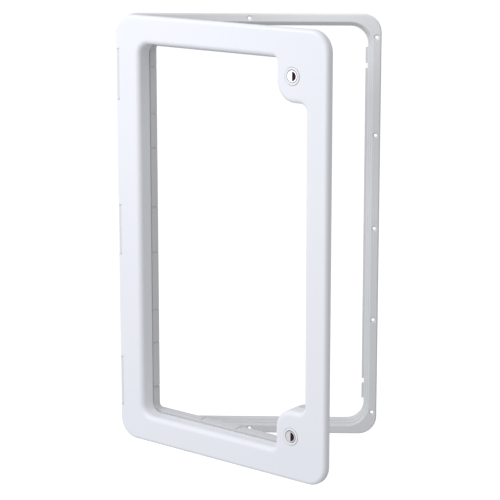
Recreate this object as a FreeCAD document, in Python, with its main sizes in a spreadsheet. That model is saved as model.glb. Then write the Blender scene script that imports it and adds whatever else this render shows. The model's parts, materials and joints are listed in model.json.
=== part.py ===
import FreeCAD
import Part
import Sketcher
import math
import os
from types import SimpleNamespace

# Driving sizes in millimetres, angles in degrees
SIZES = {
    # Mounting frame: a flange against the wall and a stepped throat behind it
    "frame_width": 362,
    "frame_height": 600,
    "frame_corner": 26,
    "flange_thickness": 3,
    "flange_edge_round": 2.4,
    "land_width": 12.5,
    "land_bevel": 1.5,
    "throat_wall": 2.5,
    "throat_corner": 30,
    "first_tread": 10,
    "first_riser": 2.75,
    "second_tread": 4,
    "second_riser": 2.75,
    "riser_bevel": 2,
    "third_tread": 6,
    "lip_reach": 3,
    "lip_thickness": 2.5,
    "keeper_below": 9.6,
    "keeper_above": 12.4,
    "keeper_gap": 7,
    "screw_inset": 6.6,
    "screw_hole_radius": 2.2,
    "screw_head_radius": 4.1,
    "screw_end_inset": 32.2,
    "screw_pitch": 136,
    # Door: an outer shell that covers the flange, and an inner ring behind it
    "door_overhang": 0.5,
    "door_corner": 28.5,
    "door_gap": 6,
    "shell_depth": 11.5,
    "shell_skin": 3,
    "shell_edge_round": 5,
    "shell_back_round": 2,
    "hinge_stile_width": 42.8,
    "lock_stile_width": 36,
    "rail_width": 38.3,
    "opening_corner": 16,
    "reveal_round": 7,
    "tongue_inset": 28.5,
    "tongue_corner": 12,
    "tongue_depth": 13.1,
    "rib_thickness": 2,
    "rib_end_inset": 69.5,
    "groove_width": 2.3,
    "groove_depth": 3,
    "inner_ring_depth": 13.5,
    "inner_rail_step": 4.2,
    "inner_ring_corner": 6,
    "inner_ring_round": 1.5,
    "rim_tab": 65,
    "rim_tab_inset": 72.5,
    "rim_tab_gap": 48,
    "rim_slot_width": 2,
    "rim_slot_depth": 1.4,
    # Lobes that carry the locks
    "lock_inset": 56.5,
    "lock_end_inset": 60.9,
    "lobe_reach": 27,
    "lobe_drop": 35,
    "lobe_stile_round": 10,
    "lobe_rail_round": 7,
    # Hinges
    "hinge_end_inset": 82,
    "hinge_inset": 5.5,
    "hinge_stand": 11.8,
    "knuckle_radius": 5.4,
    "knuckle_length": 69,
    "knuckle_side_gap": 0.5,
    "knuckle_end_gap": 1.2,
    "knuckle_window": 2.2,
    "hinge_arm": 2.6,
    "hinge_arm_reach": 2.7,
    "hinge_foot": 2,
    "hinge_foot_reach": 4.5,
    "hinge_foot_width": 11,
    "pin_radius": 2,
    "pin_clearance": 0.05,
    "lug_length": 12,
    "lug_width": 13,
    "open_angle": 37,
    # Locks
    "bezel_radius": 11.4,
    "bezel_thickness": 2.4,
    "bezel_proud": 0.8,
    "bezel_gap": 0.8,
    "bezel_bore_gap": 0.9,
    "sleeve_radius": 10,
    "sleeve_gap": 0.3,
    "plug_radius": 7.7,
    "plug_gap": 0.05,
    "plug_proud": 0.4,
    "keyway_radius": 6.2,
    "keyway_depth": 4,
    "insert_thickness": 2,
    "insert_gap": 0.1,
    "key_slot_at": 2.4,
    "key_slot_width": 1.6,
    "key_slot_height": 6,
    "nut_flats": 25,
    "nut_thickness": 4.5,
    "cam_thickness": 3,
    "cam_hub_radius": 10,
    "cam_width": 14,
    "cam_overlap": 5,
    "cam_clearance": 5,
    "tail_radius": 4,
    "cam_screw_radius": 5,
    "cam_screw_height": 3,
}

doc = FreeCAD.newDocument("caravan_service_door")
sheet = doc.addObject("Spreadsheet::Sheet", "Sizes")
for row, (alias, number) in enumerate(SIZES.items(), start=1):
    sheet.set(f"A{row}", alias)
    sheet.set(f"B{row}", str(number))
    sheet.setAlias(f"B{row}", alias)
doc.recompute()


class Measure:
    """A size: its present number, and the sheet expression that gives it."""

    def __init__(self, number, text):
        self.number = number
        self.text = text

    def joined(self, sign, other, number):
        return Measure(number, f"({self.text} {sign} {as_measure(other).text})")

    def __add__(self, other):
        return self.joined("+", other, self.number + as_measure(other).number)

    def __sub__(self, other):
        return self.joined("-", other, self.number - as_measure(other).number)

    def __mul__(self, other):
        return self.joined("*", other, self.number * as_measure(other).number)

    def __truediv__(self, other):
        return self.joined("/", other, self.number / as_measure(other).number)

    def __neg__(self):
        return Measure(-self.number, f"(-1 * {self.text})")


def as_measure(value):
    return value if isinstance(value, Measure) else Measure(value, str(value))


size = SimpleNamespace(**{
    alias: Measure(float(sheet.get(alias)), f"Sizes.{alias}") for alias in SIZES
})

# Planes across the depth of the part: the wall's face is at 0, the front is negative
flange_front = -size.flange_thickness
shell_back = flange_front - size.door_gap
door_front = shell_back - size.shell_depth
channel_floor = door_front + size.shell_skin
tongue_back = shell_back + size.tongue_depth
groove_front = tongue_back - size.groove_width
door_back = tongue_back + size.inner_ring_depth
first_step = flange_front + size.first_tread
second_step = first_step + size.second_tread
third_step = second_step + size.third_tread
throat_back = third_step + size.lip_thickness

# Places across the width and height: the door covers the frame and stands out past it all round
door_width = size.frame_width + size.door_overhang * 2
door_height = size.frame_height + size.door_overhang * 2
hinge_x = size.hinge_inset - door_width / 2
hinge_y = flange_front - size.hinge_stand
hinge_z = door_height / 2 - size.hinge_end_inset
lock_x = door_width / 2 - size.lock_inset
lock_z = door_height / 2 - size.lock_end_inset
lock_stile_x = door_width / 2 - size.lock_stile_width
hinge_stile_x = size.hinge_stile_width - door_width / 2
opening_x = (lock_stile_x + hinge_stile_x) / 2
rail_z = door_height / 2 - size.rail_width
HINGE_NAMES = {"upper": 1, "middle": 0, "lower": -1}
LOCK_NAMES = {"upper": 1, "lower": -1}
STILE_RIBS = 8
RAIL_RIBS = 4

nodes = []


# Sketches and features
def new_body(label):
    body = doc.addObject("PartDesign::Body", label)
    body.Label = label
    nodes.append(body)
    return body


def new_sketch(body, name, role="XZ_Plane", level=0):
    """A sketch on one of the body's own planes; level is its height along Y or along Z."""
    sketch = body.newObject("Sketcher::SketchObject", name)
    plane = [item for item in body.Origin.OriginFeatures if item.Role == role][0]
    sketch.AttachmentSupport = [(plane, "")]
    sketch.MapMode = "FlatFace"
    offset = as_measure(level)
    along_normal = -offset if role == "XZ_Plane" else offset
    sketch.setExpression("AttachmentOffset.Base.z", along_normal.text)
    return sketch


def drive(sketch, name, kind, places, measure):
    """One named dimension of a sketch, bound to the sheet."""
    index = sketch.addConstraint(Sketcher.Constraint(kind, *places, measure.number))
    sketch.renameConstraint(index, name)
    sketch.setExpression(f"Constraints.{name}", measure.text)


def vector(x, y):
    return FreeCAD.Vector(x, y, 0)


def rounded_rectangle(sketch, name, width, height, radius, middle):
    """A rectangle with four round corners, its middle at a place along the sketch's first axis."""
    half_w = width.number / 2
    half_h = height.number / 2
    r = radius.number
    turns = ((1, 1, 0), (-1, 1, 90), (-1, -1, 180), (1, -1, 270))
    arcs = []
    for side_x, side_y, start in turns:
        centre = vector(middle.number + side_x * (half_w - r), side_y * (half_h - r))
        circle = Part.Circle(centre, FreeCAD.Vector(0, 0, 1), r)
        begin = math.radians(start)
        arcs.append(sketch.addGeometry(Part.ArcOfCircle(circle, begin, begin + math.pi / 2)))
    lines = []
    for index, arc in enumerate(arcs):
        start = sketch.getPoint(arc, 2)
        end = sketch.getPoint(arcs[(index + 1) % 4], 1)
        lines.append(sketch.addGeometry(Part.LineSegment(start, end)))
    for index, line in enumerate(lines):
        sketch.addConstraint(Sketcher.Constraint("Tangent", arcs[index], 2, line, 1))
        sketch.addConstraint(Sketcher.Constraint("Tangent", line, 2, arcs[(index + 1) % 4], 1))
        sketch.addConstraint(Sketcher.Constraint(("Horizontal", "Vertical")[index % 2], line))
    for arc in arcs[1:]:
        sketch.addConstraint(Sketcher.Constraint("Equal", arcs[0], arc))
    heart = sketch.addGeometry(Part.Point(vector(middle.number, 0)), True)
    sketch.addConstraint(Sketcher.Constraint("PointOnObject", heart, 1, -1))
    drive(sketch, f"{name}_middle", "DistanceX", (-1, 1, heart, 1), middle)
    sketch.addConstraint(Sketcher.Constraint("Symmetric", arcs[0], 3, arcs[2], 3, heart, 1))
    drive(sketch, f"{name}_width", "DistanceX", (lines[1], 1, lines[3], 1), width)
    drive(sketch, f"{name}_height", "DistanceY", (lines[2], 1, lines[0], 1), height)
    drive(sketch, f"{name}_corner", "Radius", (arcs[0],), radius)


def rectangle(sketch, name, left, right, low, high):
    """A rectangle between two places along each of the sketch's axes."""
    left, right, low, high = (as_measure(side) for side in (left, right, low, high))
    corners = [(left, low), (right, low), (right, high), (left, high)]
    points = [vector(x.number, y.number) for x, y in corners]
    lines = []
    for index, point in enumerate(points):
        lines.append(sketch.addGeometry(Part.LineSegment(point, points[(index + 1) % 4])))
    for index, line in enumerate(lines):
        sketch.addConstraint(Sketcher.Constraint("Coincident", line, 2, lines[(index + 1) % 4], 1))
        sketch.addConstraint(Sketcher.Constraint(("Horizontal", "Vertical")[index % 2], line))
    drive(sketch, f"{name}_left", "DistanceX", (-1, 1, lines[0], 1), left)
    drive(sketch, f"{name}_right", "DistanceX", (-1, 1, lines[1], 1), right)
    drive(sketch, f"{name}_low", "DistanceY", (-1, 1, lines[0], 1), low)
    drive(sketch, f"{name}_high", "DistanceY", (-1, 1, lines[2], 1), high)


def circle(sketch, name, x, y, radius):
    """A circle at a place along the sketch's two axes."""
    x, y = as_measure(x), as_measure(y)
    normal = FreeCAD.Vector(0, 0, 1)
    index = sketch.addGeometry(Part.Circle(vector(x.number, y.number), normal, radius.number))
    drive(sketch, f"{name}_x", "DistanceX", (-1, 1, index, 3), x)
    drive(sketch, f"{name}_y", "DistanceY", (-1, 1, index, 3), y)
    drive(sketch, f"{name}_radius", "Radius", (index,), radius)


def pad(body, sketch, depth):
    feature = body.newObject("PartDesign::Pad", f"{sketch.Label}_pad")
    feature.Profile = sketch
    feature.Refine = True
    feature.setExpression("Length", depth.text)
    doc.recompute()
    return feature


def pocket(body, sketch, depth, along_normal=False):
    """A cut that has to take material away, or its direction is wrong."""
    before = body.Shape.Volume
    feature = body.newObject("PartDesign::Pocket", f"{sketch.Label}_cut")
    feature.Profile = sketch
    feature.Reversed = along_normal
    feature.Refine = True
    feature.setExpression("Length", depth.text)
    doc.recompute()
    if body.Shape.Volume >= before:
        raise RuntimeError(f"{feature.Label} cuts nothing")
    return feature


def dress(body, kind, name, edges, measure):
    """A fillet or chamfer on edges of the body as it stands."""
    if not edges:
        raise RuntimeError(f"{name} finds no edge")
    feature = body.newObject(f"PartDesign::{kind}", name)
    feature.Base = (body.Tip if body.Tip != feature else feature.BaseFeature, edges)
    feature.setExpression("Radius" if kind == "Fillet" else "Size", measure.text)
    doc.recompute()
    if not feature.isValid() or not feature.Shape.isValid():
        raise RuntimeError(f"{body.Label} {name} failed on {len(edges)} edges")
    return feature


def edges_where(body, test):
    """Names of the edges whose bounding box passes a test."""
    return [f"Edge{index}" for index, edge in enumerate(body.Shape.Edges, start=1)
            if test(edge.BoundBox)]


def near(one, other):
    return abs(one - other) < 0.01


def in_plane_y(box, level):
    return near(box.YMin, level.number) and near(box.YMax, level.number)


def outline_edges(body, level, outline):
    """Names of the edges in one plane across Y that bound an outline, corners included."""
    half_width = outline[0].number / 2
    half_height = outline[1].number / 2
    middle = outline[3].number
    return edges_where(body, lambda box: in_plane_y(box, level) and (
        near(max(middle - box.XMin, box.XMax - middle), half_width)
        or near(max(-box.ZMin, box.ZMax), half_height)))


def ring(body, name, front, back, outer, inner):
    """A flat ring between two depths; outer and inner are width, height, corner and middle."""
    sketch = new_sketch(body, name, level=back)
    rounded_rectangle(sketch, "outer", *outer)
    rounded_rectangle(sketch, "inner", *inner)
    return pad(body, sketch, back - front)


def inset_from(width, height, corner, middle, inset):
    """Width, height, corner and middle of an outline that lies inside another."""
    return width - inset * 2, height - inset * 2, corner - inset, middle


# Where the door's pieces stand: swung open about the hinge line
def swing():
    turn = FreeCAD.Rotation(FreeCAD.Vector(0, 0, 1), -size.open_angle.number)
    centre = FreeCAD.Vector(hinge_x.number, hinge_y.number, 0)
    return FreeCAD.Placement(FreeCAD.Vector(), turn, centre)


def at_lock(side):
    """A lock's own frame: its axis is Z, out of the door's front face."""
    spot = FreeCAD.Vector(lock_x.number, door_front.number, side * lock_z.number)
    return swing().multiply(
        FreeCAD.Placement(spot, FreeCAD.Rotation(FreeCAD.Vector(1, 0, 0), 90)))


# The mounting frame, one moulding
def mounting_frame():
    body = new_body("mounting_frame")
    outline = (size.frame_width, size.frame_height, size.frame_corner, as_measure(0))
    mouth = (size.frame_width - size.land_width * 2,
             size.frame_height - size.land_width * 2, size.throat_corner, as_measure(0))
    ring(body, "flange", flange_front, as_measure(0), outline, mouth)
    outer_rim = outline_edges(body, flange_front, outline)
    dress(body, "Fillet", "flange_edge", outer_rim, size.flange_edge_round)
    inner_rim = outline_edges(body, flange_front, mouth)
    dress(body, "Chamfer", "land_edge", inner_rim, size.land_bevel)
    inset = as_measure(0)
    front = as_measure(0)
    treads = []
    steps = ((first_step, size.first_riser), (second_step, size.second_riser),
             (throat_back, None))
    for index, (back, riser) in enumerate(steps, start=1):
        inner = inset_from(*mouth, inset)
        outer = inset_from(*mouth, inset - size.throat_wall)
        end = back + size.throat_wall if riser else back
        ring(body, f"throat_wall_{index}", front, end, outer, inner)
        if riser:
            inset = inset + riser
            ledge = inset_from(*mouth, inset)
            ring(body, f"throat_ledge_{index}", back, end, outer, ledge)
            treads.append((back, ledge))
            front = back
    for index, (level, ledge) in enumerate(treads, start=1):
        dress(body, "Chamfer", f"riser_bevel_{index}", outline_edges(body, level, ledge),
              size.riser_bevel)
    lip_root = mouth[0] / 2 - inset + size.throat_wall / 2
    lip_edge = mouth[0] / 2 - inset - size.lip_reach
    lip = new_sketch(body, "keeper_lip", level=throat_back)
    keeper_low = lock_z - size.keeper_below
    keeper_high = lock_z + size.keeper_above
    lip_end = keeper_low - size.keeper_gap
    spans = {"run": (-lip_end, lip_end),
             "upper_keeper": (keeper_low, keeper_high),
             "lower_keeper": (-keeper_high, -keeper_low)}
    for name, (low, high) in spans.items():
        rectangle(lip, f"right_{name}", lip_edge, lip_root, low, high)
        rectangle(lip, f"left_{name}", -lip_root, -lip_edge, low, high)
    pad(body, lip, size.lip_thickness)
    holes = new_sketch(body, "screw_holes", level=flange_front)
    column = size.frame_width / 2 - size.screw_inset
    row = size.frame_height / 2 - size.screw_inset
    end_height = size.frame_height / 2 - size.screw_end_inset
    mid_height = end_height - size.screw_pitch
    heights = (-end_height, -mid_height, as_measure(0), mid_height, end_height)
    spots = [(side, height) for side in (-column, column) for height in heights]
    spots += [(as_measure(0), row), (as_measure(0), -row)]
    for index, (x, z) in enumerate(spots, start=1):
        circle(holes, f"hole_{index}", x, z, size.screw_hole_radius)
    pocket(body, holes, size.flange_thickness)
    rims = edges_where(body, lambda box: in_plane_y(box, flange_front)
                       and near(box.XLength, 2 * size.screw_hole_radius.number)
                       and near(box.ZLength, 2 * size.screw_hole_radius.number))
    dress(body, "Chamfer", "countersinks", rims, size.screw_head_radius - size.screw_hole_radius)


# A hinge: a bracket on the flange with its knuckle, and the pin through it
def hinge(name, step):
    centre = hinge_z * step
    low = centre - size.knuckle_length / 2
    body = new_body(f"hinge_bracket_{name}")
    foot_x = hinge_x - size.hinge_foot_reach
    foot_front = flange_front - size.hinge_foot
    foot = new_sketch(body, "foot", "XY_Plane", low)
    rectangle(foot, "foot", foot_x, foot_x + size.hinge_foot_width, foot_front, flange_front)
    pad(body, foot, size.knuckle_length)
    arm = new_sketch(body, "arm", "XY_Plane", low)
    arm_x = hinge_x - size.hinge_arm_reach
    rectangle(arm, "arm", arm_x, arm_x + size.hinge_arm, hinge_y, flange_front)
    pad(body, arm, size.knuckle_length)
    knuckle = new_sketch(body, "knuckle", "XY_Plane", low)
    circle(knuckle, "knuckle", hinge_x, hinge_y, size.knuckle_radius)
    pad(body, knuckle, size.knuckle_length)
    bore = new_sketch(body, "bore", "XY_Plane", low)
    circle(bore, "bore", hinge_x, hinge_y, size.pin_radius)
    pocket(body, bore, size.knuckle_length, along_normal=True)
    if step == 0:
        access = new_sketch(body, "screw_access", level=foot_front)
        circle(access, "access", size.screw_inset - size.frame_width / 2, 0,
               size.screw_head_radius)
        pocket(body, access, size.hinge_foot)
    pin = doc.addObject("Part::Cylinder", f"hinge_pin_{name}")
    pin.Label = f"hinge_pin_{name}"
    reach = size.knuckle_end_gap + size.lug_length
    pin.setExpression("Radius", size.pin_radius.text)
    pin.setExpression("Height", (size.knuckle_length + reach * 2).text)
    pin.setExpression("Placement.Base.x", hinge_x.text)
    pin.setExpression("Placement.Base.y", hinge_y.text)
    pin.setExpression("Placement.Base.z", (low - reach).text)
    nodes.append(pin)


# A lobe at a lock corner: a block with one round corner, joined softly to stile and rail
def lobe(body, name, side, back, grow):
    """grow is how far the lobe stands out beyond the shell's own lobe."""
    sketch = new_sketch(body, f"{name}_lobe", level=back)
    left = lock_x - size.lobe_reach - grow
    end = lock_z - size.lobe_drop - grow
    radius = size.lobe_reach + grow
    root_x = lock_stile_x + size.shell_skin
    root_z = rail_z + size.shell_skin
    up = side
    points = {
        "outer_root": (root_x, root_z), "inner_root": (left, root_z),
        "arc_start": (left, end + radius), "arc_end": (left + radius, end),
        "stile_root": (root_x, end),
    }
    spot = {key: vector(x.number, up * z.number) for key, (x, z) in points.items()}
    centre = vector(left.number + radius.number, up * (end.number + radius.number))
    middle = centre + vector(-radius.number, -up * radius.number) * math.sqrt(0.5)
    arc = sketch.addGeometry(Part.Arc(spot["arc_start"], middle, spot["arc_end"]))
    first, last = (1, 2)
    if sketch.getPoint(arc, 1).distanceToPoint(spot["arc_start"]) > 0.01:
        first, last = (2, 1)
    path = ("arc_end", "stile_root", "outer_root", "inner_root", "arc_start")
    lines = [sketch.addGeometry(Part.LineSegment(spot[one], spot[two]))
             for one, two in zip(path, path[1:])]
    sketch.addConstraint(Sketcher.Constraint("Tangent", arc, last, lines[0], 1))
    for one, two in zip(lines, lines[1:]):
        sketch.addConstraint(Sketcher.Constraint("Coincident", one, 2, two, 1))
    sketch.addConstraint(Sketcher.Constraint("Tangent", lines[3], 2, arc, first))
    for line, turn in zip(lines, ("Horizontal", "Vertical", "Horizontal", "Vertical")):
        sketch.addConstraint(Sketcher.Constraint(turn, line))
    drive(sketch, "left", "DistanceX", (-1, 1, lines[3], 1), left)
    drive(sketch, "root_x", "DistanceX", (-1, 1, lines[1], 1), root_x)
    drive(sketch, "root_z", "DistanceY", (-1, 1, lines[2], 1), root_z * up)
    drive(sketch, "end", "DistanceY", (-1, 1, lines[0], 1), end * up)
    drive(sketch, "corner", "Radius", (arc,), radius)
    return sketch


def round_lobe_joints(body, grow, opening):
    """Soft inside corners where the lobes run into the stile and the rails of an opening."""
    stile_end = (opening[3] + opening[0] / 2).number, (lock_z - size.lobe_drop - grow).number
    rail_end = (lock_x - size.lobe_reach - grow).number, opening[1].number / 2
    for name, (x, z), radius in (("stile", stile_end, size.lobe_stile_round),
                                 ("rail", rail_end, size.lobe_rail_round)):
        found = edges_where(body, lambda box: near(box.XMin, x) and near(box.XMax, x)
                            and near(abs(box.ZMin), z) and near(box.ZMin, box.ZMax))
        dress(body, "Fillet", f"lobe_to_{name}", found, radius)


# Outline of the tongue that enters the throat, shared by the shell and the ring behind it
def tongue_outline():
    corner = size.tongue_corner + size.tongue_inset
    return inset_from(door_width, door_height, corner, as_measure(0), size.tongue_inset)


# The outer door frame, the white shell that shows
def outer_door_frame():
    body = new_body("outer_door_frame")
    outline = (door_width, door_height, size.door_corner, as_measure(0))
    opening = (lock_stile_x - hinge_stile_x, rail_z * 2, size.opening_corner, opening_x)
    tongue = tongue_outline()
    ring(body, "face", door_front, shell_back, outline, opening)
    ring(body, "tongue", channel_floor, groove_front, tongue, opening)
    groove = inset_from(*opening, -size.groove_depth)
    ring(body, "groove_floor", groove_front, tongue_back, tongue, groove)
    layers = ((as_measure(0), opening, door_front, groove_front),
              (-size.groove_depth, groove, groove_front, tongue_back))
    for grow, mouth, front, back in layers:
        for name, side in LOCK_NAMES.items():
            pad(body, lobe(body, name, side, back, grow), back - front)
        round_lobe_joints(body, grow, mouth)
    dress(body, "Fillet", "outer_round", outline_edges(body, door_front, outline),
          size.shell_edge_round)
    reach_z = rail_z.number + 0.01
    reveal = edges_where(body, lambda box: in_plane_y(box, door_front)
                         and box.XMin > hinge_stile_x.number - 0.01
                         and box.XMax < lock_stile_x.number + 0.01
                         and max(-box.ZMin, box.ZMax) < reach_z)
    dress(body, "Fillet", "reveal_round", reveal, size.reveal_round)
    dress(body, "Fillet", "back_round", outline_edges(body, shell_back, outline),
          size.shell_back_round)
    channel = new_sketch(body, "channel", level=shell_back)
    rounded_rectangle(channel, "outer", *inset_from(*outline, size.shell_skin))
    rounded_rectangle(channel, "inner", *tongue)
    pocket(body, channel, shell_back - channel_floor, along_normal=True)
    add_ribs(body)
    left = -door_width / 2
    for name, step in HINGE_NAMES.items():
        centre = hinge_z * step
        half = size.knuckle_length / 2 + size.knuckle_end_gap
        lug = new_sketch(body, f"lug_{name}", level=shell_back)
        rectangle(lug, "lug", left + size.shell_skin / 2, left + size.lug_width,
                  centre - half - size.lug_length, centre + half + size.lug_length)
        pad(body, lug, shell_back - channel_floor)
        notch = new_sketch(body, f"notch_{name}", level=shell_back)
        clear = size.knuckle_radius + size.knuckle_side_gap
        rectangle(notch, "notch", left - size.shell_skin, hinge_x + clear, centre - half, centre + half)
        pocket(body, notch, shell_back - hinge_y, along_normal=True)
        hollow = new_sketch(body, f"hollow_{name}", "XY_Plane", centre - half)
        circle(hollow, "hollow", hinge_x, hinge_y, clear)
        pocket(body, hollow, half * 2, along_normal=True)
        window = new_sketch(body, f"window_{name}", level=door_front)
        rectangle(window, "window", left - size.shell_skin, hinge_x + size.knuckle_window,
                  centre - half, centre + half)
        pocket(body, window, hinge_y - door_front)
        reach = half + size.lug_length
        bore = new_sketch(body, f"pin_bore_{name}", "XY_Plane", centre - reach)
        circle(bore, "bore", hinge_x, hinge_y, size.pin_radius + size.pin_clearance)
        pocket(body, bore, reach * 2, along_normal=True)
    cut_lock_holes(body, door_front, tongue_back)
    seat = new_sketch(body, "bezel_seats", level=door_front)
    for name, side in LOCK_NAMES.items():
        circle(seat, name, lock_x, lock_z * side, size.bezel_radius + size.bezel_gap)
    pocket(body, seat, size.bezel_thickness - size.bezel_proud)
    body.Placement = swing()


def add_ribs(body):
    """Stiffening ribs across the shell's hollow back, evenly spaced along each side."""
    ribs = new_sketch(body, "ribs", level=shell_back)
    half_rib = size.rib_thickness / 2
    edge_x = door_width / 2 - size.shell_skin / 2
    inner_x = door_width / 2 - size.tongue_inset - size.shell_skin / 2
    edge_z = door_height / 2 - size.shell_skin / 2
    inner_z = door_height / 2 - size.tongue_inset - size.shell_skin / 2
    for index, z in enumerate(even_places(door_height / 2 - size.rib_end_inset, STILE_RIBS)):
        rectangle(ribs, f"right_{index}", inner_x, edge_x, z - half_rib, z + half_rib)
        rectangle(ribs, f"left_{index}", -edge_x, -inner_x, z - half_rib, z + half_rib)
    for index, x in enumerate(even_places(door_width / 2 - size.rib_end_inset, RAIL_RIBS)):
        rectangle(ribs, f"top_{index}", x - half_rib, x + half_rib, inner_z, edge_z)
        rectangle(ribs, f"low_{index}", x - half_rib, x + half_rib, -edge_z, -inner_z)
    pad(body, ribs, shell_back - channel_floor)


def even_places(end, count):
    """Places from one end to the other, the same distance apart."""
    return [end * (2 * index / (count - 1) - 1) for index in range(count)]


def cut_lock_holes(body, front, back):
    holes = new_sketch(body, "lock_holes", level=front)
    for name, side in LOCK_NAMES.items():
        circle(holes, name, lock_x, lock_z * side, size.sleeve_radius + size.sleeve_gap)
    pocket(body, holes, back - front)


# The inner door frame, the ring that closes the door behind
def inner_door_frame():
    body = new_body("inner_door_frame")
    opening = (lock_stile_x - hinge_stile_x, rail_z * 2 - size.inner_rail_step * 2,
               size.inner_ring_corner, opening_x)
    ring(body, "ring", tongue_back, door_back, tongue_outline(), opening)
    for name, side in LOCK_NAMES.items():
        pad(body, lobe(body, name, side, door_back, as_measure(0)), size.inner_ring_depth)
    round_lobe_joints(body, as_measure(0), opening)
    back_edges = edges_where(body, lambda box: in_plane_y(box, door_back))
    dress(body, "Fillet", "back_round", back_edges, size.inner_ring_round)
    cut_rim_slots(body)
    cut_lock_holes(body, tongue_back, door_back)
    body.Placement = swing()


def cut_rim_slots(body):
    """Thin slots across the rim, at the ends of its spring tabs."""
    slots = new_sketch(body, "rim_slots", level=tongue_back)
    half = size.rim_slot_width / 2
    rim_z = rail_z - size.inner_rail_step
    end_tab = door_height / 2 - size.rim_tab_inset
    tab_root = end_tab - size.rim_tab
    heights = (size.rim_tab / 2, tab_root - size.rim_tab_gap, tab_root, end_tab)
    depth = size.rim_slot_depth
    for index, height in enumerate(heights):
        for name, z in (("up", height), ("down", -height)):
            rectangle(slots, f"left_{name}_{index}", hinge_stile_x - depth, hinge_stile_x + depth,
                      z - half, z + half)
            if height is not end_tab:
                rectangle(slots, f"right_{name}_{index}", lock_stile_x - depth, lock_stile_x + depth,
                          z - half, z + half)
    rail_middle = (lock_x - size.lobe_reach + hinge_stile_x) / 2
    for name, tab_end in (("near", -size.rim_tab / 2), ("far", size.rim_tab / 2)):
        x = rail_middle + tab_end
        rectangle(slots, f"top_{name}", x - half, x + half, rim_z - depth, rim_z + depth)
        rectangle(slots, f"low_{name}", x - half, x + half, -rim_z - depth, depth - rim_z)
    pocket(body, slots, size.inner_ring_depth)


# Lock pieces, made about their own axis and placed on the door
def turned(label, profile):
    """A body of revolution about Z; profile lists radius and height around the section."""
    body = new_body(label)
    sketch = new_sketch(body, "section")
    points = [vector(radius.number, height.number) for radius, height in profile]
    lines = []
    for index, point in enumerate(points):
        following = points[(index + 1) % len(points)]
        lines.append(sketch.addGeometry(Part.LineSegment(point, following)))
    for index, line in enumerate(lines):
        following = lines[(index + 1) % len(lines)]
        sketch.addConstraint(Sketcher.Constraint("Coincident", line, 2, following, 1))
        radius, height = profile[index]
        drive(sketch, f"radius_{index}", "DistanceX", (-1, 1, line, 1), radius)
        drive(sketch, f"height_{index}", "DistanceY", (-1, 1, line, 1), height)
    revolve = body.newObject("PartDesign::Revolution", "turn")
    revolve.Profile = sketch
    revolve.ReferenceAxis = (sketch, ["V_Axis"])
    revolve.Angle = 360
    doc.recompute()
    return body


def tube(label, inner, outer, low, high):
    return turned(label, ((inner, low), (outer, low), (outer, high), (inner, high)))


def lock(name, side):
    zero = as_measure(0)
    nut_seat = door_front - door_back
    nut_end = nut_seat - size.nut_thickness
    cam_front = door_front - throat_back - size.cam_clearance
    cam_back = cam_front - size.cam_thickness
    seat = size.bezel_proud - size.bezel_thickness
    bore = size.plug_radius + size.plug_gap
    bezel = tube(f"lock_bezel_{name}", size.plug_radius + size.bezel_bore_gap, size.bezel_radius,
                 seat, size.bezel_proud)
    rims = edges_where(bezel, lambda box: near(box.ZMin, size.bezel_proud.number))
    dress(bezel, "Chamfer", "rim", rims, size.bezel_proud / 2)
    sleeve = tube(f"lock_sleeve_{name}", bore, size.sleeve_radius, cam_front + size.plug_gap, seat)
    plug = turned(f"lock_plug_{name}", (
        (zero, cam_back), (size.tail_radius, cam_back), (size.tail_radius, cam_front),
        (size.plug_radius, cam_front), (size.plug_radius, size.plug_proud),
        (zero, size.plug_proud)))
    keyway = new_sketch(plug, "keyway", "XY_Plane", size.plug_proud)
    half_disc(keyway, zero, size.keyway_radius)
    pocket(plug, keyway, size.keyway_depth)
    insert = new_body(f"lock_insert_{name}")
    plate = new_sketch(insert, "plate", "XY_Plane", size.plug_proud - size.keyway_depth)
    half_disc(plate, size.insert_gap, size.keyway_radius - size.insert_gap * 2)
    pad(insert, plate, size.insert_thickness)
    slot = new_sketch(insert, "key_slot", "XY_Plane", size.plug_proud - size.keyway_depth)
    half_slot = size.key_slot_height / 2
    rectangle(slot, "slot", size.key_slot_at, size.key_slot_at + size.key_slot_width,
              -half_slot, half_slot)
    pocket(insert, slot, size.insert_thickness, along_normal=True)
    nut = hexagon_nut(f"lock_nut_{name}", size.nut_flats, size.sleeve_radius, nut_end,
                      size.nut_thickness)
    cam = new_body(f"lock_cam_{name}")
    hub = new_sketch(cam, "hub", "XY_Plane", cam_back)
    circle(hub, "hub", 0, 0, size.cam_hub_radius)
    pad(cam, hub, size.cam_thickness)
    tongue = new_sketch(cam, "tongue", "XY_Plane", cam_back)
    throat_edge = (size.frame_width / 2 - size.land_width - size.first_riser
                   - size.second_riser - size.lip_reach)
    reach = throat_edge + size.cam_overlap - lock_x
    half = size.cam_width / 2
    tip_at = (half - reach) * side
    low, high = (tip_at, zero) if side > 0 else (zero, tip_at)
    rectangle(tongue, "tongue", -half, half, low, high)
    pad(cam, tongue, size.cam_thickness)
    tip = new_sketch(cam, "tip", "XY_Plane", cam_back)
    circle(tip, "tip", 0, tip_at, half)
    pad(cam, tip, size.cam_thickness)
    hole = new_sketch(cam, "tail_hole", "XY_Plane", cam_back)
    circle(hole, "tail", 0, 0, size.tail_radius)
    pocket(cam, hole, size.cam_thickness, along_normal=True)
    screw = doc.addObject("Part::Cylinder", f"lock_cam_screw_{name}")
    screw.Label = f"lock_cam_screw_{name}"
    screw.setExpression("Radius", size.cam_screw_radius.text)
    screw.setExpression("Height", size.cam_screw_height.text)
    nodes.append(screw)
    below = FreeCAD.Placement(
        FreeCAD.Vector(0, 0, (cam_back - size.cam_screw_height).number), FreeCAD.Rotation())
    for piece in (bezel, sleeve, plug, insert, nut, cam):
        piece.Placement = at_lock(side)
    screw.Placement = at_lock(side).multiply(below)


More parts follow.
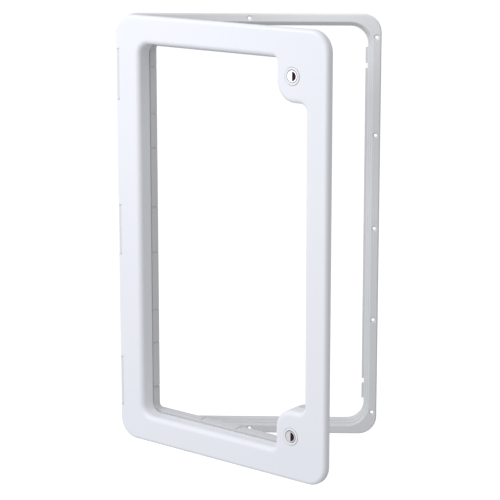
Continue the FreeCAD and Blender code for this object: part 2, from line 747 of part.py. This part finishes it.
def half_disc(sketch, x, radius):
    """A half disc with its straight side upright at a place along the sketch's first axis."""
    r = radius.number
    rim = Part.Circle(vector(x.number, 0), FreeCAD.Vector(0, 0, 1), r)
    arc = sketch.addGeometry(Part.ArcOfCircle(rim, -math.pi / 2, math.pi / 2))
    line = sketch.addGeometry(Part.LineSegment(vector(x.number, r), vector(x.number, -r)))
    sketch.addConstraint(Sketcher.Constraint("Coincident", arc, 2, line, 1))
    sketch.addConstraint(Sketcher.Constraint("Coincident", line, 2, arc, 1))
    sketch.addConstraint(Sketcher.Constraint("PointOnObject", arc, 3, -1))
    sketch.addConstraint(Sketcher.Constraint("Vertical", line))
    sketch.addConstraint(Sketcher.Constraint("PointOnObject", arc, 3, line))
    drive(sketch, "centre", "DistanceX", (-1, 1, arc, 3), x)
    drive(sketch, "radius", "Radius", (arc,), radius)


def hexagon_nut(label, flats, bore, low, height):
    """A hexagon nut on the lock's axis, sized across its flats."""
    prism = doc.addObject("Part::Prism", f"{label}_prism")
    prism.Polygon = 6
    prism.setExpression("Circumradius", (flats / 2 / math.cos(math.pi / 6)).text)
    hole = doc.addObject("Part::Cylinder", f"{label}_hole")
    hole.setExpression("Radius", bore.text)
    for solid in (prism, hole):
        solid.setExpression("Height", height.text)
        solid.setExpression("Placement.Base.z", low.text)
    nut = doc.addObject("Part::Cut", label)
    nut.Label = label
    nut.Base = prism
    nut.Tool = hole
    nodes.append(nut)
    doc.recompute()
    return nut


mounting_frame()
for hinge_name, hinge_step in HINGE_NAMES.items():
    hinge(hinge_name, hinge_step)
outer_door_frame()
inner_door_frame()
for lock_name, lock_side in LOCK_NAMES.items():
    lock(lock_name, lock_side)
doc.recompute()

for item in doc.Objects:
    if "Invalid" in item.State or "Error" in item.State:
        raise RuntimeError(f"{item.Label} failed: {item.State}")
for node in nodes:
    if node.Shape.isNull() or not node.Shape.isValid() or not node.Shape.Solids:
        raise RuntimeError(f"{node.Label} has no sound solid")

os.makedirs("parts", exist_ok=True)
for node in nodes:
    node.Shape.exportStep(f"parts/{node.Label}.step")
    print(node.Label, len(node.Shape.Solids), round(node.Shape.Volume))
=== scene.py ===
# %% [markdown]
# A caravan service door: a white hinged frame with two key locks, on a grey frame that screws to the
# wall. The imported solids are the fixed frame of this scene. Everything here sits on them, in metres,
# and never moves or resizes them. The door stands ajar at rest, as it does when somebody reaches in.

# %% Load the frame
import bpy
import bmesh
import json
import math
from mathutils import Matrix, Vector


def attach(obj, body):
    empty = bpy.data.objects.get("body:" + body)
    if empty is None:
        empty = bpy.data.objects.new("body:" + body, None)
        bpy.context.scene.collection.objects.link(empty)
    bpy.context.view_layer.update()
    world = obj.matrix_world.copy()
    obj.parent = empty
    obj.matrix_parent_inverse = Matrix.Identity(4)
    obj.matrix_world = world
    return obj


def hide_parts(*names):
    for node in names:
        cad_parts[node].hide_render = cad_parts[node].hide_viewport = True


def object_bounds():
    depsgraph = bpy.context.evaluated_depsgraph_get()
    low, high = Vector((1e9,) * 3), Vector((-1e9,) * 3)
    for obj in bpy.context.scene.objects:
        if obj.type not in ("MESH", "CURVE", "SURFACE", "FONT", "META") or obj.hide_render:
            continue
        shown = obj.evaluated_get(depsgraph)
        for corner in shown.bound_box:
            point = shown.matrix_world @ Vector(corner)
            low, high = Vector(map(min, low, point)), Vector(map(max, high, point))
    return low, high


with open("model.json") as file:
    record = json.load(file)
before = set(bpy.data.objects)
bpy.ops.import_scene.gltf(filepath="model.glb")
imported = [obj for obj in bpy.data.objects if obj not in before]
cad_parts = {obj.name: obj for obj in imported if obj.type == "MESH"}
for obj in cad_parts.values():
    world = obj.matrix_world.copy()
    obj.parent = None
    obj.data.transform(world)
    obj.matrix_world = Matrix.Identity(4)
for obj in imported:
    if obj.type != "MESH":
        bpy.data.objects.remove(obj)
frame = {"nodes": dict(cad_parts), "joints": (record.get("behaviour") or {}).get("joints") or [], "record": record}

nodes = frame["nodes"]
cad_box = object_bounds()

# %% [markdown]
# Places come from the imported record, not from typed numbers: the hinge line and each lock's centre and
# axis are the joints, and the door's own directions follow from the upper lock's axis. That axis points
# into the wall, so its opposite points out of the door's front face.

# %% Places on the door
joints = {joint["name"]: joint for joint in frame["joints"]}
locks = {name: joints[f"{name}_lock_turn"] for name in ("upper", "lower")}
lock_centre = {name: Vector(joint["pos_m"]) for name, joint in locks.items()}
door_out = -Vector(locks["upper"]["axis"]).normalized()
up = Vector((0, 0, 1))
door_right = up.cross(door_out).normalized()
print("door faces", [round(value, 3) for value in door_out])
print("right along the door is", [round(value, 3) for value in door_right])


# %% [markdown]
# Each lock gets axes of its own: right and up along the door, and out of its face. A point written in
# those axes reads like a drawing of the lock, and the same drawing serves both locks.

# %% Axes of a lock
def lock_axes(name):
    turn = Matrix((door_right, up, door_out)).transposed().to_4x4()
    return Matrix.Translation(lock_centre[name]) @ turn


def seen_from_lock(node, name):
    to_lock = lock_axes(name).inverted()
    return [to_lock @ vertex.co for vertex in nodes[node].data.vertices]


def reach(points):
    """How far out from the lock's axis the points lie, and their lowest and highest depth."""
    depths = [point.z for point in points]
    return max(math.hypot(point.x, point.y) for point in points), min(depths), max(depths)


for name in lock_centre:
    plug_radius = reach(seen_from_lock(f"lock_plug_{name}", name))[0]
    print(name, "plug reaches", round(plug_radius * 1000, 2), "mm out")


# %% [markdown]
# Materials are built from a handful of small steps: a noise that reads the place on the piece, a value
# or a colour led by that noise, and a bump for what the eye sees only as a break in the gloss. Object
# coordinates keep the pattern still on the piece when the door swings.

# %% Node helpers
def new_material(name):
    material = bpy.data.materials.new(name)
    material.use_nodes = True
    shader = material.node_tree.nodes["Principled BSDF"]
    return material, shader


def add_node(material, kind, **settings):
    node = material.node_tree.nodes.new(kind)
    for key, value in settings.items():
        setattr(node, key, value)
    return node


def place_on_piece(material):
    return add_node(material, "ShaderNodeTexCoord").outputs["Object"]


def noise(material, place, scale, detail):
    texture = add_node(material, "ShaderNodeTexNoise")
    texture.inputs["Scale"].default_value = scale
    texture.inputs["Detail"].default_value = detail
    material.node_tree.links.new(place, texture.inputs["Vector"])
    return texture.outputs["Fac"]


def value_between(material, factor, low, high):
    node = add_node(material, "ShaderNodeMapRange")
    node.inputs["To Min"].default_value = low
    node.inputs["To Max"].default_value = high
    material.node_tree.links.new(factor, node.inputs["Value"])
    return node.outputs["Result"]


def colour_between(material, factor, first, second):
    node = add_node(material, "ShaderNodeMix", data_type="RGBA")
    node.inputs["A"].default_value = (*first, 1)
    node.inputs["B"].default_value = (*second, 1)
    material.node_tree.links.new(factor, node.inputs["Factor"])
    return node.outputs["Result"]


def raise_bump(material, shader, height, distance, strength):
    bump = add_node(material, "ShaderNodeBump")
    bump.inputs["Distance"].default_value = distance
    bump.inputs["Strength"].default_value = strength
    material.node_tree.links.new(height, bump.inputs["Height"])
    material.node_tree.links.new(bump.outputs["Normal"], shader.inputs["Normal"])


# %% [markdown]
# Moulded plastic is never one flat colour. A spark-eroded tool leaves a fine grain, the melt leaves a
# faint cloudiness over hand-sized areas, and handling polishes some places more than others. One
# function makes the family: its colour, its gloss and its grain are what differ between the pieces.

# %% Moulded plastic
CLOUD_SCALE = 9
HANDLING_SCALE = 38
GRAIN_SCALE = 1900
GRAIN_STRENGTH = 0.6
PLASTIC_IOR = 1.5


def moulded_plastic(name, first, second, gloss, grain_height):
    material, shader = new_material(name)
    links = material.node_tree.links
    place = place_on_piece(material)
    cloud = noise(material, place, CLOUD_SCALE, detail=3)
    links.new(colour_between(material, cloud, first, second), shader.inputs["Base Color"])
    polish = noise(material, place, HANDLING_SCALE, detail=5)
    links.new(value_between(material, polish, *gloss), shader.inputs["Roughness"])
    grain = noise(material, place, GRAIN_SCALE, detail=2)
    raise_bump(material, shader, grain, grain_height, GRAIN_STRENGTH)
    shader.inputs["IOR"].default_value = PLASTIC_IOR
    return material


finishes = {
    "door_white": moulded_plastic(
        "white_door_moulding", first=(0.835, 0.85, 0.905), second=(0.87, 0.877, 0.91),
        gloss=(0.3, 0.38), grain_height=0.00004),
    # The ring's grey is painted shade: it is kept darker than the door's white for the shade in the deep opening
    # it lines.
    "rim_white": moulded_plastic(
        "ring_moulding_painted_recess_shade", first=(0.66, 0.66, 0.675), second=(0.7, 0.698, 0.703),
        gloss=(0.4, 0.5), grain_height=0.00007),
    "hinge_white": moulded_plastic(
        "white_hinge_moulding", first=(0.72, 0.728, 0.755), second=(0.76, 0.765, 0.78),
        gloss=(0.32, 0.42), grain_height=0.00005),
    "bezel_white": moulded_plastic(
        "white_lock_ring", first=(0.87, 0.88, 0.9), second=(0.91, 0.91, 0.92),
        gloss=(0.22, 0.3), grain_height=0.00002),
    "frame_grey": moulded_plastic(
        "grey_frame_moulding", first=(0.685, 0.69, 0.71), second=(0.725, 0.728, 0.74),
        gloss=(0.42, 0.55), grain_height=0.0001),
}
print("plastics for", list(finishes))


# %% [markdown]
# The dark half of each lock is a plastic insert round the key slot. It is close to black with a trace
# of deep red, and glossier than the mouldings because the key and the fingers rub it.

# %% Dark key insert
RUB_SCALE = 420
RUB_HEIGHT = 0.00003
RUB_STRENGTH = 0.5
INSERT_SPECULAR = 0.25


def key_insert_plastic():
    material, shader = new_material("dark_key_insert")
    links = material.node_tree.links
    rub = noise(material, place_on_piece(material), RUB_SCALE, detail=4)
    shade = colour_between(material, rub, first=(0.026, 0.003, 0.008), second=(0.07, 0.008, 0.02))
    links.new(shade, shader.inputs["Base Color"])
    links.new(value_between(material, rub, low=0.18, high=0.34), shader.inputs["Roughness"])
    raise_bump(material, shader, rub, RUB_HEIGHT, RUB_STRENGTH)
    shader.inputs["Specular IOR Level"].default_value = INSERT_SPECULAR
    return material


finishes["insert_black"] = key_insert_plastic()
print("insert is", finishes["insert_black"].name)


# %% [markdown]
# The metal pieces are small. The nut and cam behind the door are zinc plate with a faint mottled
# passivation, and the pins are drawn steel with lines along their length, so their noise is stretched
# along the hinge line.

# %% Zinc and drawn steel
def plated_metal(name, first, second, gloss, stretch, grain_scale):
    material, shader = new_material(name)
    links = material.node_tree.links
    mapping = add_node(material, "ShaderNodeMapping")
    mapping.inputs["Scale"].default_value = stretch
    links.new(place_on_piece(material), mapping.inputs["Vector"])
    grain = noise(material, mapping.outputs["Vector"], grain_scale, detail=4)
    links.new(colour_between(material, grain, first, second), shader.inputs["Base Color"])
    links.new(value_between(material, grain, *gloss), shader.inputs["Roughness"])
    shader.inputs["Metallic"].default_value = 1.0
    return material


finishes["lock_zinc"] = plated_metal(
    "zinc_plate", first=(0.58, 0.585, 0.57), second=(0.68, 0.68, 0.7),
    gloss=(0.28, 0.42), stretch=(1, 1, 1), grain_scale=420)
finishes["pin_steel"] = plated_metal(
    "drawn_steel", first=(0.56, 0.56, 0.57), second=(0.64, 0.64, 0.65),
    gloss=(0.22, 0.36), stretch=(1, 1, 0.04), grain_scale=2200)
print("metals for lock_zinc and pin_steel")


# %% [markdown]
# Tool marks on a lock run round its own axis or along it, so their pattern has to be turned to that
# lock. A Mapping node does this, from the same axes that the lock's drawing uses. A wave texture then
# repeats at a pitch in metres.

# %% Patterns round a lock
WAVE_RADIANS_PER_SCALE = 20


def place_on_lock(material, name):
    mapping = add_node(material, "ShaderNodeMapping", vector_type="TEXTURE")
    axes = lock_axes(name)
    mapping.inputs["Location"].default_value = axes.to_translation()
    mapping.inputs["Rotation"].default_value = axes.to_euler()
    material.node_tree.links.new(place_on_piece(material), mapping.inputs["Vector"])
    return mapping.outputs["Vector"]


def wave(material, place, pitch, **settings):
    texture = add_node(material, "ShaderNodeTexWave", wave_profile="SIN", **settings)
    texture.inputs["Scale"].default_value = math.tau / WAVE_RADIANS_PER_SCALE / pitch
    material.node_tree.links.new(place, texture.inputs["Vector"])
    return texture.outputs["Fac"]


# %% [markdown]
# A lock's face is turned on a lathe before it is plated, and under the bright plating the fine rings of
# the tool still show. The sleeve round the plug has a thread along its axis; from the front only the
# line between ring and plug shows it, and the sleeve's near-black colour is painted shade for that deep gap.
# Each lock gets a copy of both finishes of its own.

# %% Turned plating and threads
RING_PITCH = 0.00035
RING_HEIGHT = 0.00001
RING_STRENGTH = 0.35
MOTTLE_SCALE = 300
THREAD_PITCH = 0.001
THREAD_HEIGHT = 0.0003
THREAD_STRENGTH = 0.8
WEAR_SCALE = 420


def turned_plating(name):
    material, shader = new_material(f"turned_plating_{name}")
    links = material.node_tree.links
    place = place_on_lock(material, name)
    rings = wave(material, place, RING_PITCH, wave_type="RINGS", rings_direction="Z")
    mottle = noise(material, place, MOTTLE_SCALE, detail=4)
    shade = colour_between(material, mottle, first=(0.8, 0.8, 0.82), second=(0.9, 0.9, 0.91))
    links.new(shade, shader.inputs["Base Color"])
    links.new(value_between(material, rings, low=0.12, high=0.24), shader.inputs["Roughness"])
    raise_bump(material, shader, rings, RING_HEIGHT, RING_STRENGTH)
    shader.inputs["Metallic"].default_value = 1.0
    return material


def sleeve_painted_gap_shade(name):
    material, shader = new_material(f"sleeve_painted_gap_shade_{name}")
    links = material.node_tree.links
    place = place_on_lock(material, name)
    thread = wave(material, place, THREAD_PITCH, wave_type="BANDS", bands_direction="Z")
    # Near-black colour: painted shade for the deep gap between the ring and the plug, not the sleeve's own zinc
    # colour; the thread itself is real bump.
    shade = colour_between(
        material, thread, first=(0.012, 0.012, 0.014), second=(0.035, 0.035, 0.038))
    links.new(shade, shader.inputs["Base Color"])
    wear = noise(material, place, WEAR_SCALE, detail=4)
    links.new(value_between(material, wear, low=0.28, high=0.42), shader.inputs["Roughness"])
    raise_bump(material, shader, thread, THREAD_HEIGHT, THREAD_STRENGTH)
    shader.inputs["Metallic"].default_value = 1.0
    return material


own_finish = {}
for name in lock_centre:
    own_finish[f"lock_plug_{name}"] = turned_plating(name)
    own_finish[f"lock_sleeve_{name}"] = sleeve_painted_gap_shade(name)
print("own finishes for", list(own_finish))

# %% [markdown]
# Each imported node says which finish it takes: the record lists a material slot for every node. The
# solids keep their shape, and only the materials in their slots are set.

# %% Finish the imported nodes
for row in frame["record"]["subparts"]:
    mesh = nodes[row["node"]].data
    mesh.materials.clear()
    mesh.materials.append(own_finish.get(row["node"]) or finishes[row["material_slot"]])


# %% [markdown]
# Small fasteners repeat, so Geometry Nodes make them: a tree draws one head, cuts it, and puts a copy
# on every point it is given. A short helper adds a node and sets its plain inputs, which keeps the
# trees readable.

# %% Tree helpers
def new_tree(name, sizes):
    tree = bpy.data.node_groups.new(name, "GeometryNodeTree")
    tree.interface.new_socket("Geometry", in_out="INPUT", socket_type="NodeSocketGeometry")
    for size, kind in sizes.items():
        tree.interface.new_socket(size, in_out="INPUT", socket_type=kind)
    tree.interface.new_socket("Geometry", in_out="OUTPUT", socket_type="NodeSocketGeometry")
    return tree, tree.nodes.new("NodeGroupInput").outputs


def tree_node(tree, kind, inputs, **settings):
    node = tree.nodes.new(kind)
    for key, value in settings.items():
        setattr(node, key, value)
    for socket, value in inputs.items():
        if isinstance(value, bpy.types.NodeSocket):
            tree.links.new(value, node.inputs[socket])
        else:
            node.inputs[socket].default_value = value
    return node


def worked_out(tree, operation, first, second):
    return tree_node(tree, "ShaderNodeMath", {0: first, 1: second}, operation=operation).outputs[0]


def vector_of(tree, x, y, z):
    return tree_node(tree, "ShaderNodeCombineXYZ", {"X": x, "Y": y, "Z": z}).outputs["Vector"]


def copies_on_points(tree, given, shape):
    """Copies of a shape on the given points, their Z axis along Facing, as one mesh."""
    turn = tree_node(tree, "FunctionNodeAlignRotationToVector", {"Vector": given["Facing"]}, axis="Z")
    copies = tree_node(tree, "GeometryNodeInstanceOnPoints", {
        "Points": given["Geometry"], "Instance": shape, "Rotation": turn.outputs["Rotation"]})
    plain = tree_node(tree, "GeometryNodeRealizeInstances", {"Geometry": copies.outputs["Instances"]})
    finished = tree_node(tree, "GeometryNodeSetMaterial", {
        "Geometry": plain.outputs["Geometry"], "Material": given["Finish"]})
    ending = tree.nodes.new("NodeGroupOutput")
    tree.links.new(finished.outputs["Geometry"], ending.inputs["Geometry"])


# %% [markdown]
# A pan-head screw is a low dome with a cross-shaped recess. The dome is a cylinder of several rings
# whose upper rings are drawn in, and the cross is two boxes taken out of it. A sphere would be quicker,
# but its lower half would hide inside the piece it sits on.

# %% Tree for pan-head screws
HEAD_SIDES = 28
HEAD_RINGS = 6
DOME_POWER = 2.6
DOME_DRAW = 0.62
CROSS_LENGTH = 0.62
CROSS_WIDTH = 0.17


def dome_of_head(tree, radius, height):
    drum = tree_node(tree, "GeometryNodeMeshCylinder", {
        "Vertices": HEAD_SIDES, "Side Segments": HEAD_RINGS,
        "Radius": radius, "Depth": height}).outputs["Mesh"]
    half_height = worked_out(tree, "MULTIPLY", height, 0.5)
    standing = tree_node(tree, "GeometryNodeTransform", {
        "Geometry": drum, "Translation": vector_of(tree, 0.0, 0.0, half_height)}).outputs["Geometry"]
    place = tree.nodes.new("GeometryNodeInputPosition").outputs["Position"]
    level = tree_node(tree, "ShaderNodeSeparateXYZ", {"Vector": place}).outputs["Z"]
    share = worked_out(tree, "DIVIDE", level, height)
    steep = worked_out(tree, "POWER", share, DOME_POWER)
    inside = worked_out(tree, "SUBTRACT", 1.0, worked_out(tree, "MULTIPLY", steep, DOME_DRAW))
    drawn_in = tree_node(tree, "ShaderNodeVectorMath", {
        0: place, 1: vector_of(tree, inside, inside, 1.0)}, operation="MULTIPLY").outputs["Vector"]
    return tree_node(tree, "GeometryNodeSetPosition", {
        "Geometry": standing, "Position": drawn_in}).outputs["Geometry"]


def bars_of_cross(tree, radius, height):
    length = worked_out(tree, "MULTIPLY", radius, CROSS_LENGTH)
    width = worked_out(tree, "MULTIPLY", radius, CROSS_WIDTH)
    lift = vector_of(tree, 0.0, 0.0, height)
    bars = []
    for across, along in ((length, width), (width, length)):
        bar = tree_node(tree, "GeometryNodeMeshCube", {
            "Size": vector_of(tree, across, along, height)}).outputs["Mesh"]
        raised = tree_node(tree, "GeometryNodeTransform", {"Geometry": bar, "Translation": lift})
        bars.append(raised.outputs["Geometry"])
    return bars


def pan_head_tree():
    tree, given = new_tree("pan_head_screws", {
        "Head Radius": "NodeSocketFloat", "Head Height": "NodeSocketFloat",
        "Facing": "NodeSocketVector", "Finish": "NodeSocketMaterial"})
    radius, height = given["Head Radius"], given["Head Height"]
    dome = dome_of_head(tree, radius, height)
    cut = tree_node(tree, "GeometryNodeMeshBoolean", {"Mesh 1": dome}, operation="DIFFERENCE")
    for bar in bars_of_cross(tree, radius, height):
        tree.links.new(bar, cut.inputs["Mesh 2"])
    copies_on_points(tree, given, cut.outputs["Mesh"])
    return tree


pan_heads = pan_head_tree()
print("tree", pan_heads.name, "with", len(pan_heads.nodes), "nodes")


# %% [markdown]
# A finished piece is a plain mesh at the origin. The helper sets the tree's sizes by socket identifier
# before anything is evaluated, takes the evaluated mesh, and drops the points and the modifier it came
# from.

# %% From points to a finished piece
SHARP_EDGE = math.radians(32)


def piece_from_tree(name, tree, points, sizes, body):
    holder_mesh = bpy.data.meshes.new(name + "_points")
    holder_mesh.from_pydata(points, [], [])
    holder = bpy.data.objects.new(name + "_points", holder_mesh)
    bpy.context.scene.collection.objects.link(holder)
    modifier = holder.modifiers.new("tree", "NODES")
    modifier.node_group = tree
    for item in tree.interface.items_tree:
        if item.in_out == "INPUT" and item.name in sizes:
            modifier[item.identifier] = sizes[item.name]
    bpy.context.view_layer.update()
    evaluated = holder.evaluated_get(bpy.context.evaluated_depsgraph_get())
    mesh = bpy.data.meshes.new_from_object(evaluated)
    holder.modifiers.remove(modifier)
    bpy.data.objects.remove(holder)
    bpy.data.meshes.remove(holder_mesh)
    mesh.name = name
    mesh.polygons.foreach_set("use_smooth", [True] * len(mesh.polygons))
    mesh.set_sharp_from_angle(angle=SHARP_EDGE)
    piece = bpy.data.objects.new(name, mesh)
    bpy.context.scene.collection.objects.link(piece)
    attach(piece, body)
    print(name, "has", len(mesh.polygons), "faces on", len(points), "points")
    return piece


# %% [markdown]
# The screw behind each lock holds the cam on the plug and turns with it, so it rides on the lock's own
# body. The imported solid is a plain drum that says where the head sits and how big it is; the detailed
# head replaces it.

# %% Cam screws
door_back = tuple(-door_out)
for name in lock_centre:
    head_radius, head_tip, head_seat = reach(seen_from_lock(f"lock_cam_screw_{name}", name))
    seat = lock_axes(name) @ Vector((0, 0, head_seat))
    screw = piece_from_tree(f"cam_screw_head_{name}", pan_heads, [seat], {
        "Head Radius": head_radius, "Head Height": head_seat - head_tip,
        "Facing": door_back, "Finish": finishes["lock_zinc"]}, f"{name}_lock")
    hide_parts(f"lock_cam_screw_{name}")

# %% [markdown]
# The ring behind the door clamps the panel against the outer frame, and screws from inside draw the two
# together. They keep one distance from the ring's outer edge, evenly spaced on each side. Nothing of
# this is seen from the front.

# %% Screws round the ring
RING_SCREW_RADIUS = 0.0022
RING_SCREW_HEIGHT = 0.0015
RING_SCREW_INSET = 0.00375
RING_SCREW_SINK = 0.0001
SIDE_SCREWS = 5
END_SCREWS = 3
END_SHARE = 0.68
SIDE_SHARE = 0.78


def evenly(count, half):
    return [half * (2 * step / (count - 1) - 1) for step in range(count)]


def ring_screw_seats():
    hinge_line = Vector(joints["door_swing"]["pos_m"])
    corners = [vertex.co - hinge_line for vertex in nodes["inner_door_frame"].data.vertices]
    across = [corner.dot(door_right) for corner in corners]
    high = [corner.z for corner in corners]
    back = min(corner.dot(door_out) for corner in corners) + RING_SCREW_SINK
    middle_x = (min(across) + max(across)) / 2
    middle_z = (min(high) + max(high)) / 2
    half_x = (max(across) - min(across)) / 2 - RING_SCREW_INSET
    half_z = (max(high) - min(high)) / 2 - RING_SCREW_INSET
    rises = evenly(SIDE_SCREWS, half_z * SIDE_SHARE)
    slides = evenly(END_SCREWS, half_x * END_SHARE)
    flat = [(side * half_x, rise) for side in (-1, 1) for rise in rises]
    flat += [(slide, end * half_z) for end in (-1, 1) for slide in slides]
    ring_middle = hinge_line + door_right * middle_x + up * middle_z + door_out * back
    return [ring_middle + door_right * x + up * z for x, z in flat]


piece_from_tree("ring_screws", pan_heads, ring_screw_seats(), {
    "Head Radius": RING_SCREW_RADIUS, "Head Height": RING_SCREW_HEIGHT,
    "Facing": door_back, "Finish": finishes["lock_zinc"]}, "door")

# %% [markdown]
# The stage is a pale floor under the door and a plain white backdrop dome that only the camera sees.
# They give the object no light and throw no shadow on it, so the studio alone lights it. Neither is
# part of the object.

# %% Floor and backdrop
FLOOR_DROP = 0.14
FLOOR_Z = cad_box[0].z - FLOOR_DROP
FLOOR_RADIUS = 9.0
FLOOR_SIDES = 96
FLOOR_SHADE = (0.86, 0.86, 0.86, 1)
FLOOR_ROUGHNESS = 0.9
FLOOR_GLOW = 0.42
DOME_RADIUS = 10.0
DOME_SUBDIVISIONS = 4
BACKDROP_GLOW = 1.0
BLACK = (0, 0, 0, 1)
WHITE = (1, 1, 1, 1)


def glowing(name, shade, glow):
    material, shader = new_material(name)
    shader.inputs["Base Color"].default_value = shade
    shader.inputs["Emission Color"].default_value = WHITE
    shader.inputs["Emission Strength"].default_value = glow
    return material, shader


def stage_object(name, build, material):
    work = bmesh.new()
    build(work)
    mesh = bpy.data.meshes.new(name)
    work.to_mesh(mesh)
    work.free()
    mesh.materials.append(material)
    thing = bpy.data.objects.new(name, mesh)
    bpy.context.scene.collection.objects.link(thing)
    thing.visible_diffuse = False
    thing.visible_glossy = False
    thing.visible_transmission = False
    thing.visible_shadow = False


floor_pale, floor_shader = glowing("floor_pale", FLOOR_SHADE, FLOOR_GLOW)
floor_shader.inputs["Roughness"].default_value = FLOOR_ROUGHNESS
backdrop_white, _ = glowing("backdrop_white", BLACK, BACKDROP_GLOW)
stage_object("floor", lambda work: bmesh.ops.create_circle(
    work, cap_ends=True, segments=FLOOR_SIDES, radius=FLOOR_RADIUS,
    matrix=Matrix.Translation((0, 0, FLOOR_Z))), floor_pale)
stage_object("backdrop", lambda work: bmesh.ops.create_icosphere(
    work, subdivisions=DOME_SUBDIVISIONS, radius=DOME_RADIUS), backdrop_white)
print("floor at", round(FLOOR_Z, 3))

# %% [markdown]
# Soft studio light. The room itself is bright and cool on the left, and darker and warmer on the right,
# which is what gives the insides of the left stile their grey. A world shader does this with one dot
# product: the strength leans with the direction, so no lamp has to be built for it.

# %% Room light
ROOM_LEVEL = 0.61
ROOM_FROM_LEFT = 0.24
ROOM_FROM_ABOVE = 0.2
ROOM_FROM_FRONT = 0.14
COOL_LEFT = (0.94, 0.96, 1.0, 1)
WARM_RIGHT = (1.0, 0.995, 0.98, 1)
FAR_LEFT = -1


def room_light():
    world = bpy.data.worlds.new("studio")
    world.use_nodes = True
    tree = world.node_tree
    direction = tree.nodes.new("ShaderNodeTexCoord").outputs["Generated"]
    lean = tree_node(tree, "ShaderNodeVectorMath", {
        0: direction, 1: (-ROOM_FROM_LEFT, -ROOM_FROM_FRONT, ROOM_FROM_ABOVE)}, operation="DOT_PRODUCT")
    level = worked_out(tree, "ADD", lean.outputs["Value"], ROOM_LEVEL)
    side = tree_node(tree, "ShaderNodeSeparateXYZ", {"Vector": direction}).outputs["X"]
    share = tree_node(tree, "ShaderNodeMapRange", {"Value": side, "From Min": FAR_LEFT}).outputs["Result"]
    tint = tree_node(tree, "ShaderNodeMix", {}, data_type="RGBA")
    tint.inputs["A"].default_value = COOL_LEFT
    tint.inputs["B"].default_value = WARM_RIGHT
    tree.links.new(share, tint.inputs["Factor"])
    background = tree.nodes["Background"]
    tree.links.new(tint.outputs["Result"], background.inputs["Color"])
    tree.links.new(level, background.inputs["Strength"])
    bpy.context.scene.world = world
    print("room level", ROOM_LEVEL)


room_light()


# %% [markdown]
# Three lamps work on top of the room. A large key lamp at the upper left makes the slow fall of light
# from the top of the door to its bottom. A strip on the left is what the polished plug of the upper
# lock mirrors, so it reads as bright metal. A small strip close above the far corner lifts the top of
# the grey frame. The camera does not see the lamps themselves.

# %% Lamps
LAMP_COLOUR = (0.97, 0.985, 1.0)


def soft_lamp(name, place, target, width, height, watts):
    data = bpy.data.lights.new(name, "AREA")
    data.shape = "RECTANGLE"
    data.size = width
    data.size_y = height
    data.energy = watts
    data.color = LAMP_COLOUR
    lamp = bpy.data.objects.new(name, data)
    lamp.location = place
    lamp.rotation_euler = (Vector(target) - Vector(place)).to_track_quat("-Z", "Y").to_euler()
    lamp.visible_camera = False
    bpy.context.scene.collection.objects.link(lamp)
    print("lamp", name, watts, "W")


soft_lamp("key", place=(-0.9, -0.6, 0.8), target=(-0.1, -0.1, 0.1),
          width=0.5, height=0.5, watts=4.5)
soft_lamp("left_strip", place=(-0.98, -0.44, 0.03), target=(0, -0.15, 0.03),
          width=0.3, height=0.45, watts=0.42)
soft_lamp("corner_strip", place=(0.11, -0.12, 0.42), target=(0.1, 0, 0.295),
          width=0.12, height=0.03, watts=0.1)
bpy.context.scene.view_settings.view_transform = "Standard"

# %% [markdown]
# The camera stands a little to the right and above, with a long lens, and looks down at the door. A
# small shift of the frame lets it look down a little less steeply, so the uprights come together less.

# %% Camera
CAMERA_PLACE = Vector((0.0863, -2.5809, 0.5527))
CAMERA_YAW = math.radians(1.9)
CAMERA_PITCH = math.radians(11.703)
CAMERA_SHIFT = -0.07
FOCAL_PIXELS = 1884.4
IMAGE_WIDTH = 500
SENSOR_WIDTH = 36
camera_data = bpy.data.cameras.new("camera")
camera_data.sensor_width = SENSOR_WIDTH
camera_data.lens = FOCAL_PIXELS / IMAGE_WIDTH * SENSOR_WIDTH
camera_data.shift_y = CAMERA_SHIFT
camera = bpy.data.objects.new("camera", camera_data)
camera.location = CAMERA_PLACE
look = Vector((-math.sin(CAMERA_YAW) * math.cos(CAMERA_PITCH),
               math.cos(CAMERA_YAW) * math.cos(CAMERA_PITCH), -math.sin(CAMERA_PITCH)))
camera.rotation_euler = look.to_track_quat("-Z", "Y").to_euler()
bpy.context.scene.collection.objects.link(camera)
bpy.context.scene.camera = camera
print("lens", round(camera_data.lens, 1), "mm")
